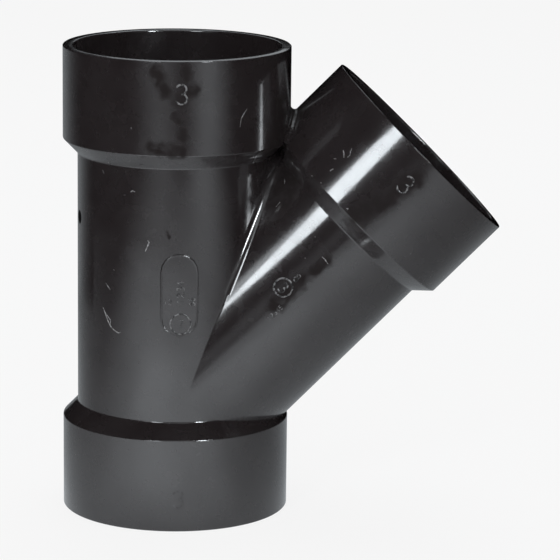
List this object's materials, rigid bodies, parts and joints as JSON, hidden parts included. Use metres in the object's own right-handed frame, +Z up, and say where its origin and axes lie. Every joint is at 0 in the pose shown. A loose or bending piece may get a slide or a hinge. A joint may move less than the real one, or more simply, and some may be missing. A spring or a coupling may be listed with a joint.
{
  "type": "lateral wye fitting",
  "caption": "Moulded lateral wye pipe fitting: a straight run with a slanted branch, and a hub with a pipe socket at each end.",
  "frame": {"origin": "centre of the outlet socket's mouth, in the lower face that the fitting stands on", "axes": "+Z up the run, the branch leaves toward +X and +Z, the label pad faces -Y"},
  "size_m": [0.1898, 0.0982, 0.203],
  "materials": {
    "moulded_plastic": "glossy black, as moulded, with light handling scuffs"
  },
  "bodies": {
    "root": {"wye_body": "moulded_plastic"}
  },
  "joints": []
}
